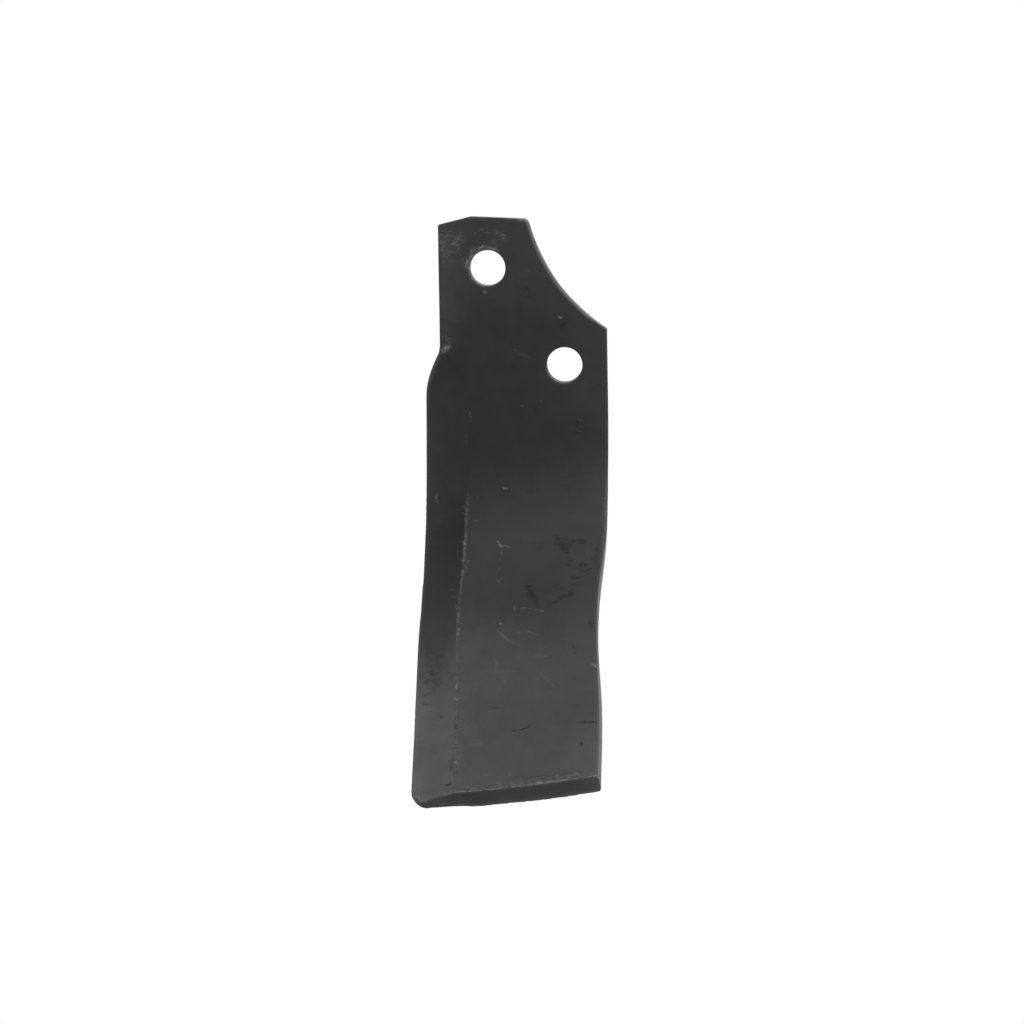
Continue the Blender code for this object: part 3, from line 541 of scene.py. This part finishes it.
def makeBlade():
    piece = copyOfFrame("tiller_blade", "dressedBlade")
    rim = foldPoints(piece, blade["edgeAngles"])
    ridge = [point for point in foldPoints(piece, blade["ridgeAngles"])
             if point.x < blade["ridgeSide"] * mm]
    print("rim points", len(rim), "ridge points", len(ridge))
    guide = copyOfFrame("tiller_blade", "guide")
    useModifier(piece, "REMESH", mode="VOXEL", voxel_size=blade["voxel"] * mm)
    useModifier(piece, "SHRINKWRAP", target=guide, wrap_method="NEAREST_SURFACEPOINT")
    drawOnto(piece, ridge, blade["ridgeGrip"])
    drawOnto(piece, rim, blade["rimGrip"])
    useModifier(piece, "SMOOTH", factor=blade["smoothing"], iterations=blade["rounding"])
    onlySelect(guide)
    bpy.ops.object.delete()
    clouds = bpy.data.textures.new("hammerWaves", "CLOUDS")
    clouds.noise_scale = blade["wavinessSize"] * mm
    useModifier(piece, "DISPLACE", texture=clouds, texture_coords="LOCAL",
                strength=blade["waviness"] * mm, mid_level=0.5)
    for mark in gouges:
        pressMark(piece, *mark)
    storeNearness(piece, "rim", rim)
    storeNearness(piece, "ridge", ridge)
    storeUnrolled(piece)
    for kind, strokes in smudgesAndShadows.items():
        storeSmudgesAndShadows(piece, kind, strokes)
    storeScratches(piece, scratches)
    swellOutline(piece)
    onlySelect(piece)
    bpy.ops.object.shade_smooth()
    settle(piece)
    print("blade made,", len(piece.data.polygons), "faces")
    return piece


# shader maths: a wire is a socket that can be added, multiplied and so on
class Wire:
    def __init__(self, board, socket):
        self.board = board
        self.socket = socket

    def __add__(self, other):
        return self.board.maths("ADD", self, other)

    def __sub__(self, other):
        return self.board.maths("SUBTRACT", self, other)

    def __rsub__(self, other):
        return self.board.maths("SUBTRACT", other, self)

    def __mul__(self, other):
        return self.board.maths("MULTIPLY", self, other)

    __radd__ = __add__
    __rmul__ = __mul__


class Board:
    def __init__(self, owner):
        owner.use_nodes = True
        self.tree = owner.node_tree

    def add(self, kind, settings=None, sockets=None, out=0):
        node = self.tree.nodes.new(kind)
        for name, value in (settings or {}).items():
            setattr(node, name, value)
        for name, value in (sockets or {}).items():
            self.feed(node.inputs[name], value)
        return Wire(self, node.outputs[out])

    def feed(self, socket, value):
        if isinstance(value, Wire):
            self.tree.links.new(value.socket, socket)
        else:
            socket.default_value = value

    def maths(self, operation, first, second=0.0):
        return self.add("ShaderNodeMath", {"operation": operation}, {0: first, 1: second})

    def vector(self, operation, first, second=(0, 0, 0), out=0):
        return self.add("ShaderNodeVectorMath", {"operation": operation},
                        {0: first, 1: second}, out)

    def scaled(self, vector, factor):
        return self.add("ShaderNodeVectorMath", {"operation": "SCALE"},
                        {0: vector, "Scale": factor})

    def attribute(self, name, out=2):
        return self.add("ShaderNodeAttribute", {"attribute_name": name}, out=out)

    def fade(self, value, start, end, low=0.0, high=1.0):
        return self.add("ShaderNodeMapRange", {"interpolation_type": "SMOOTHSTEP"},
                        {"Value": value, "From Min": start, "From Max": end,
                         "To Min": low, "To Max": high})

    def noise(self, place, size, detail=3.0, rough=0.55, out=0):
        return self.add("ShaderNodeTexNoise", None,
                        {"Vector": place, "Scale": 1 / size, "Detail": detail,
                         "Roughness": rough}, out)

    def wandering(self, place, size, reach, moved=None):
        # the place, or what is moved there, pushed about by up to half the reach
        push = self.vector("SUBTRACT", self.noise(place, size, out=1), (0.5, 0.5, 0.5))
        return self.vector("ADD", moved or place, self.scaled(push, reach))

    def blend(self, share, first, second):
        return self.add("ShaderNodeMix", {"data_type": "RGBA"}, {0: share, 6: first, 7: second}, 2)

    def split(self, vector):
        first = self.add("ShaderNodeSeparateXYZ", None, {0: vector})
        return [Wire(self, socket) for socket in first.socket.node.outputs]

    def patch(self, place, centre, halfSize, soft, strength):
        # full inside an ellipsoid, fading out over the soft share of its size
        away = self.vector("DIVIDE", self.vector("SUBTRACT", place, centre), halfSize)
        return self.fade(self.vector("LENGTH", away, out=1), 1 + soft, 1 - soft, 0.0, strength)

    def stretch(self, bar, middle, half, soft, strength):
        # the same for a stretch down the bar, all across it
        return self.patch(bar, (0, middle, 0), (900, half, 900), soft, strength)

    def most(self, masks):
        found = masks[0]
        for mask in masks[1:]:
            found = self.maths("MAXIMUM", found, mask)
        return found


# black paint on forged steel, worn as on the real blade; some of these colours also serve as
# painted shade, painted shadow, painted light and painted highlights
paint = {
    "upper": (0.0240, 0.0270, 0.0261, 1),
    "lower": (0.0498, 0.0496, 0.0489, 1),
    "grey": (0.0350, 0.0352, 0.0352, 1),
    "wornAndPaintedLight": (0.0560, 0.0566, 0.0566, 1),
    "shade": (0.0125, 0.0142, 0.0137, 1),
    "dustAndPaintedLight": (0.0780, 0.0758, 0.0745, 1),
    "pale": (0.1070, 0.1070, 0.1065, 1),
    "rust": (0.0860, 0.0770, 0.0720, 1),
    "olive": (0.0450, 0.0460, 0.0405, 1),
    "brown": (0.0155, 0.0140, 0.0095, 1),
    "sootAndShadow": (0.0090, 0.0095, 0.0095, 1),
    "tan": (0.1180, 0.1050, 0.0960, 1),
    "steelAndHighlight": (0.2000, 0.2000, 0.1950, 1),
    "specular": 0.2,
    "roughness": (0.40, 0.52),
    "bump": {"Strength": 0.25, "Distance": 0.0006},
}

# broad tones, each over the ones before: where, centre and half size on the unbent bar
# (across, down from the origin, height), soft share of the size, colour, strength
tones = [
    ("all", (0, 264, 0), (900, 96, 900), 0.36, "lower", 1.0),
    ("front", (40, 176, 5), (20, 30, 9), 0.5, "lower", 0.35),
    ("all", (-8, -48, 0), (60, 40, 900), 0.45, "grey", 0.9),
    ("front", (-44, -26, 5), (13, 44, 9), 0.7, "wornAndPaintedLight", 0.45),
    ("front", (-42, 9, 5), (9, 19, 9), 0.6, "wornAndPaintedLight", 0.36),
    ("front", (44, 30, 5), (25, 60, 9), 0.7, "grey", 0.9),
    ("bevel", (-42, 125, 2), (90, 36, 90), 0.40, "shade", 1.0),
    ("bevel", (-42, 266, 2), (90, 66, 90), 0.40, "dustAndPaintedLight", 0.85),
    ("bevel", (-49, 86, 0), (9, 40, 9), 0.8, "wornAndPaintedLight", 0.30),
    ("bevel", (-46, 246, 0), (10, 60, 9), 0.6, "pale", 0.9),
    ("front", (32, 200, 5), (12, 36, 9), 0.7, "olive", 0.7),
    ("front", (-2, 172, 5), (12, 12, 9), 0.7, "olive", 0.35),
    ("front", (31, 133, 5), (15, 20, 9), 0.7, "olive", 0.36),
    ("front", (10, 215, 5), (22, 14, 9), 0.7, "grey", 0.34),
    ("front", (33, 216, 5), (10, 18, 9), 0.7, "grey", 0.24),
    ("front", (26, 64, 5), (12, 16, 9), 0.7, "shade", 0.22),
    ("front", (-24, 196, 3), (8, 38, 9), 0.7, "dustAndPaintedLight", 0.24),
    # painted shade in the hollow below the notch
    ("front", (-38, 20, 4), (7, 8, 9), 0.8, "sootAndShadow", 0.30),
    ("bevel", (-38, 162, 0), (12, 34, 9), 0.8, "brown", 0.28),
    ("front", (-10, 258, 5), (16, 12, 9), 0.6, "dustAndPaintedLight", 0.25),
    ("front", (40, 246, 5), (9, 22, 9), 0.6, "dustAndPaintedLight", 0.3),
    # the sides painted paler: partly their bare sheared steel, partly a painted reflection of the
    # light from the side
    ("wall", (0, 100, 0), (900, 900, 900), 0.1, "dustAndPaintedLight", 0.9),
    # the end face painted paler overall, partly for its cut steel and partly as painted light from
    # below, with its own patches across it
    ("end", (0, 256, 0), (900, 900, 900), 0.1, "olive", 1.0),
    ("end", (47, 256, 0), (6, 900, 900), 0.8, "dustAndPaintedLight", 0.5),
    ("end", (-32, 256, 0), (12, 900, 900), 0.7, "wornAndPaintedLight", 0.8),
    ("end", (-11, 256, 0), (13, 900, 900), 0.7, "brown", 0.24),
]

# painted highlight: pale bands along the back edge of the end face: colour, heights where it fades
# in and is full, strength
endHighlightBands = [("wornAndPaintedLight", -0.5, -3.0, 0.4), ("dustAndPaintedLight", -2.4, -4.0, 0.8)]

# the noises that break the paint up: size, detail, roughness
patterns = {
    "clouds": (30, 4, 0.55),
    "mottle": (6, 5, 0.65),
    "grain": (1.1, 4, 0.60),
    "flakes": (2.2, 6, 0.75),
}

# and those that lie across or down the unbent bar, with how much finer they are each way
barPatterns = {
    "dashes": (1.5, 6, 0.75, (0.65, 1.15, 1.0)),
    "streaks": (5, 6, 0.70, (1.0, 0.16, 1.0)),
}

# the colour a smudge brings (the soot strokes also bring painted shadow and shade), how gritty and
# how soft its flakes are, the most they cover and the most that its even haze covers
smudgeAndShadowLooks = {
    "sootAndShadow": ("sootAndShadow", 2.5, 0.36, 0.90, 0.26),
    "brown": ("brown", 2.9, 0.34, 0.78, 0.24),
    "rust": ("rust", 2.4, 0.35, 0.50, 0.35),
    "tan": ("tan", 2.6, 0.30, 0.90, 0.30),
    "flecks": ("steelAndHighlight", 3.4, 0.30, 0.36, 0.05),
}

# how bare the ridge of the bevel is: middle and half length down the bar, strength
ridgeWear = [(94, 10, 0.24), (113, 15, 0.36), (133, 12, 0.16), (154, 16, 0.30), (200, 50, 0.14)]

# the strengths of the other wear, and of the painted highlights along the rims, the clearance arc
# and the cutting edge
wearAndHighlights = {
    "besideRidge": (116, 22, 0.4, 0.8),    # middle and half length, soft share, strength
    "ridgeTicks": (214, 30, 0.4, 0.5),
    "ridgeSoft": 0.6,
    # painted highlight and a little wear along every rim, and much more painted highlight along
    # the rim of the tip
    "rim": 0.08,
    "tipRimHighlight": 0.56,             # this much more at the tip
    "brightScuffs": 0.22,
    "darkScuffs": 0.45,
    # painted highlight along the rim of the clearance arc, and a worn line with painted highlight
    # along the cutting edge
    "arc": 0.42,
    "cuttingEdgeWearAndHighlight": (0.10, 0.30),    # low on the bar and high up
    "backStreaks": 0.16,
    "spots": 0.12,
}


def readBlade(board):
    # all that the paint goes by: places, heights and distances in millimetres, faces, noises
    place = board.scaled(board.add("ShaderNodeTexCoord", out=3), 1 / mm)
    bar = board.attribute("unrolled", 1)
    across, down, height = board.split(bar)
    front = board.fade(height, -3.0, -2.0)
    at = SimpleNamespace(
        place=place, bar=bar, across=across, down=down, height=height, front=front,
        bevel=front * board.fade(height, 4.95, 4.65),
        wall=board.fade(board.attribute("wall"), 0.45, 0.8),
        foot=board.fade(down, 250.5, 253.5),
        tip=board.fade(down, 235, 252),
        fromRim=(1 - board.attribute("rim")) * blade["reach"],
        fromRidge=(1 - board.attribute("ridge")) * blade["reach"])
    for name, (size, detail, rough) in patterns.items():
        setattr(at, name, board.noise(place, size, detail, rough))
    for name, (size, detail, rough, finer) in barPatterns.items():
        setattr(at, name, board.noise(board.vector("MULTIPLY", bar, finer), size, detail, rough))
    at.wobble = (at.dashes - 0.5) * 7.0 + (at.mottle - 0.5) * 4.0
    return at


def broadTones(board, at):
    where = {"all": 1.0, "front": at.front * (1 - at.wall), "bevel": at.bevel * (1 - at.wall),
             "wall": at.wall * (1 - at.foot), "end": at.wall * at.foot}
    softBar = board.wandering(board.wandering(at.bar, 28, 22), 5, 6)
    colour = paint["upper"]
    for face, centre, halfSize, soft, name, strength in tones:
        share = board.patch(softBar, centre, halfSize, soft, strength) * where[face]
        colour = board.blend(share, colour, paint[name])
    for name, start, end, strength in endHighlightBands:
        share = where["end"] * board.fade(at.height, start, end) * strength
        colour = board.blend(share, colour, paint[name])
    spots = board.fade(at.mottle + (at.flakes - 0.5) * 0.6, 0.52, 0.75)
    colour = board.blend(spots * wearAndHighlights["spots"], colour, paint["brown"])
    blotches = (board.noise(at.place, 9) - 0.5) * 0.35 + (at.mottle - 0.5) * 0.25
    return board.scaled(colour, 1 + blotches)


def smudgedAndShaded(board, at, colour):
    # grit breaks each smudge up into flakes, most in its thin outer part
    for kind, (name, grit, soft, most, haze) in smudgeAndShadowLooks.items():
        smudgeAndShadowMask = board.attribute(kind)
        gritty = smudgeAndShadowMask * 0.75 + (at.dashes - 0.5) * grit
        share = board.fade(gritty, 0.5 - soft, 0.5 + soft, 0.0, most)
        share = board.most([share * board.fade(smudgeAndShadowMask, 0.0, 0.3), smudgeAndShadowMask * haze])
        colour = board.blend(share, colour, paint[name])
    return colour


def nearestScratch(board, at):
    # full on the scratch, below 0 on a dark one, with a ragged edge
    halfWidth, soft, strength = board.split(board.attribute("scratchShape", 1))
    offset = board.wandering(at.place, 1.6, 1.6, board.attribute("scratchOffset", 1))
    distance = board.vector("LENGTH", board.vector("MULTIPLY", offset, (1, 1, 0)), out=1)
    return board.fade(distance, halfWidth + soft, halfWidth) * strength


def darkMarks(board, at, scratch):
    # the dark scratches, a dark line beside the ridge and dark ticks along it
    darkened = 0 - scratch * board.fade(at.dashes, 0.36, 0.50, 0.5, 1.0)
    beside = board.fade(at.fromRidge - at.wobble * 0.5, 2.0, 0.9) * at.bevel
    beside = beside * board.stretch(at.bar, *wearAndHighlights["besideRidge"])
    beside = beside * board.fade(at.dashes, 0.42, 0.6)
    ticks = board.stretch(at.bar, *wearAndHighlights["ridgeTicks"])
    ticks = ticks * board.fade(at.fromRidge, 1.8, 0.8) * board.fade(at.dashes, 0.46, 0.40)
    return board.most([beside, ticks, darkened])


def bareMarksAndHighlights(board, at, scratch, scuffs):
    scratched = scratch * board.fade(at.dashes, 0.40, 0.58, 0.15, 1.0)
    # the ridge is worn bare in a ragged line
    ridgeBare = board.most([board.stretch(at.bar, middle, half, wearAndHighlights["ridgeSoft"], strength)
                            for middle, half, strength in ridgeWear])
    narrower = board.fade(at.down, 118, 136, 1.0, 1.7)
    ridgeBare = ridgeBare * board.fade((at.fromRidge - at.wobble * 0.6) * narrower, 0.9, 0.0)
    # the rim of the tip gets a painted highlight along its edge, with scuffs beside it, and the
    # rest of the rim a little painted highlight and wear
    outer = board.fade(board.maths("ABSOLUTE", at.height), 2.5, 4.0)
    ragged = (at.flakes - 0.5) * 7.0 * (at.tip * 0.4 + 0.1)
    rimWearAndHighlight = board.fade(at.fromRim - ragged, 0.6, 0.0) * outer
    rimWearAndHighlight = rimWearAndHighlight * (at.tip * wearAndHighlights["tipRimHighlight"] + wearAndHighlights["rim"])
    scuffed = scuffs * board.fade(at.dashes, 0.52, 0.60) * wearAndHighlights["brightScuffs"]
    # the clearance arc gets a painted highlight along its rim, and the cutting edge a pale worn
    # line with more painted highlight high up by the step
    arc = board.fade(at.across, -4, -2) * board.fade(at.down, 4, 0)
    arc = arc * board.fade(at.fromRim, 1.9, 0.4) * at.front * wearAndHighlights["arc"]
    drawn = board.fade(at.down, 48, 24, *wearAndHighlights["cuttingEdgeWearAndHighlight"])
    cuttingEdgeWearAndHighlight = at.bevel * board.fade(at.fromRim - at.wobble * 0.2, 2.4, 0.2) * drawn
    # the back is rubbed in streaks down the bar
    rubbed = board.fade(at.height, -2, -3) * board.fade(at.streaks, 0.54, 0.72)
    return board.most([scratched, ridgeBare, rimWearAndHighlight, scuffed, arc, cuttingEdgeWearAndHighlight,
                       rubbed * wearAndHighlights["backStreaks"]])


def wornBlackPaint():
    material = bpy.data.materials.new("wornBlackPaint")
    board = Board(material)
    shader = board.tree.nodes["Principled BSDF"]
    at = readBlade(board)
    scratch = nearestScratch(board, at)
    scuffs = at.tip * at.front * (1 - at.wall) * board.fade(at.fromRim, 4.5, 0.8)
    darkScuffs = scuffs * board.fade(at.dashes, 0.46, 0.38) * wearAndHighlights["darkScuffs"]
    colour = smudgedAndShaded(board, at, broadTones(board, at))
    colour = board.blend(darkMarks(board, at, scratch), colour, paint["sootAndShadow"])
    colour = board.blend(darkScuffs, colour, paint["sootAndShadow"])
    # bare steel in the scratches and worn places, and painted highlights along the rims
    colour = board.blend(bareMarksAndHighlights(board, at, scratch, scuffs), colour, paint["steelAndHighlight"])

    board.feed(shader.inputs["Base Color"], colour)
    board.feed(shader.inputs["Roughness"], board.fade(at.grain, 0.2, 0.8, *paint["roughness"]))
    shader.inputs["Specular IOR Level"].default_value = paint["specular"]
    relief = at.clouds + at.grain * 0.05
    bump = board.add("ShaderNodeBump", None, {**paint["bump"], "Height": relief})
    board.feed(shader.inputs["Normal"], bump)
    return material


# camera, floor and light
camera = {
    "place": (0.06216, -1.75843, 0.09878),
    "look": (-0.03975, 0.99341, -0.10751),
    "up": (0.01049, 0.10800, 0.99410),
    "lens": 133.55,
    "film": 36,
    "farthest": 50,
}

studio = {
    "floorDrop": 0.30,
    "floorSize": 1.2,
    "floorCorners": 96,
    "floorRoughness": 0.9,
    "floorColour": (0.9, 0.9, 0.9, 1),
    "floorLift": 0.35,
    "floorFade": (0.15, 0.55),          # for the camera it turns white over this
    "ambient": 0.32,
    "darkSide": (0.03, -0.98, 0.10),    # the room behind the camera is dark
    "darkStrength": 0.15,
    "darkReach": (0.55, 0.97),
    "topLight": {"place": (0.50, -0.85, 1.00), "size": 0.8, "power": 20},
    "aim": (0, -0.05, -0.08),           # the middle of the blade
}


def placeCamera():
    bpy.ops.object.camera_add()
    eye = bpy.context.object
    eye.name = "photoCamera"
    look = Vector(camera["look"]).normalized()
    up = Vector(camera["up"])
    right = look.cross(up).normalized()
    up = right.cross(look)
    turn = Matrix((right, up, -look)).transposed().to_4x4()
    eye.matrix_world = Matrix.Translation(camera["place"]) @ turn
    eye.data.sensor_width = camera["film"]
    eye.data.lens = camera["lens"]
    eye.data.clip_end = camera["farthest"]
    bpy.context.scene.camera = eye


def softbox(name, place, size, power):
    bpy.ops.object.light_add(type="AREA", location=place)
    lamp = bpy.context.object
    lamp.name = name
    lamp.data.shape = "SQUARE"
    lamp.data.size = size
    lamp.data.energy = power
    way = Vector(studio["aim"]) - Vector(place)
    lamp.rotation_euler = way.to_track_quat("-Z", "Y").to_euler()


def lightStudio():
    world = bpy.data.worlds.new("studio")
    bpy.context.scene.world = world
    board = Board(world)
    background = board.tree.nodes["Background"]
    background.inputs["Color"].default_value = (1, 1, 1, 1)
    path = board.tree.nodes.new("ShaderNodeLightPath")
    toCamera, glossy, through = [Wire(board, path.outputs[name]) for name in
                                 ("Is Camera Ray", "Is Glossy Ray", "Is Transmission Ray")]
    way = board.add("ShaderNodeTexCoord")
    facing = board.vector("DOT_PRODUCT", way, Vector(studio["darkSide"]).normalized(), 1)
    mirrored = glossy * board.fade(facing, *studio["darkReach"], 1.0, studio["darkStrength"])
    white = board.most([toCamera, through, mirrored])
    lit = (1 - board.most([toCamera, through, glossy])) * studio["ambient"]
    board.feed(background.inputs["Strength"], white + lit)
    softbox("topLight", **studio["topLight"])


def layFloor():
    bpy.ops.mesh.primitive_circle_add(vertices=studio["floorCorners"], fill_type="NGON",
                                      radius=studio["floorSize"] / 2,
                                      location=(0, 0, cadBox[0][2] - studio["floorDrop"]))
    floor = bpy.context.object
    floor.name = "paleFloor"
    settle(floor)
    material = bpy.data.materials.new("palePaper")
    board = Board(material)
    shader = board.tree.nodes["Principled BSDF"]
    shader.inputs["Base Color"].default_value = studio["floorColour"]
    shader.inputs["Roughness"].default_value = studio["floorRoughness"]
    # the camera sees the paper a little paler than it is lit, and white at its edge
    path = board.tree.nodes.new("ShaderNodeLightPath")
    shader.inputs["Emission Strength"].default_value = 1
    place = board.add("ShaderNodeTexCoord", out=3)
    out = board.vector("LENGTH", board.vector("MULTIPLY", place, (1, 1, 0)), out=1)
    lift = board.fade(out, *studio["floorFade"], studio["floorLift"], 1.0)
    glow = board.scaled((1, 1, 1), lift * Wire(board, path.outputs["Is Camera Ray"]))
    board.feed(shader.inputs["Emission Color"], glow)
    floor.data.materials.append(material)


dressed = makeBlade()
dressed.data.materials.clear()
dressed.data.materials.append(wornBlackPaint())
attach(dressed, "root")
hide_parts("tiller_blade")
layFloor()
lightStudio()
placeCamera()
print("studio set")
